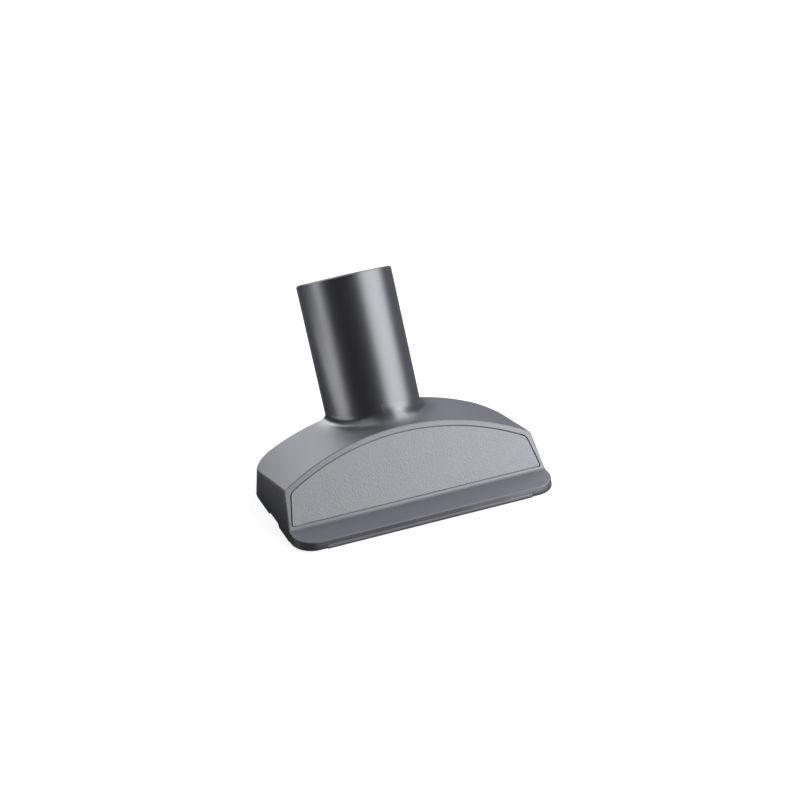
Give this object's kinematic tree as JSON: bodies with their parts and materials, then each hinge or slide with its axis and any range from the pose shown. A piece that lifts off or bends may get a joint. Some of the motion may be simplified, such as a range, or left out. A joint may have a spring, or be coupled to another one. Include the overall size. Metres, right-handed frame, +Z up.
{
  "type": "flat vacuum nozzle",
  "caption": "Flat upholstery nozzle for a vacuum cleaner: arched hood with a sloping front panel, front lip, and a round socket leaning back for the suction tube.",
  "frame": {"origin": "on the floor under the middle of the overall bounding box, in the nozzle's plane of symmetry; the sole stands on Z = 0", "axes": "+X across the width, +Y from the front lip to the socket, +Z up from the sole"},
  "size_m": [0.116, 0.1054, 0.0805],
  "materials": {
    "body_plastic": "satin, fine grain on the front panel",
    "rail_plastic": "satin",
    "strip_pile": "short pile"
  },
  "bodies": {
    "root": {"nozzle_body": "body_plastic", "front_strip_rail": "rail_plastic", "front_strip_pile": "strip_pile", "rear_strip_rail": "rail_plastic", "rear_strip_pile": "strip_pile"}
  },
  "joints": []
}
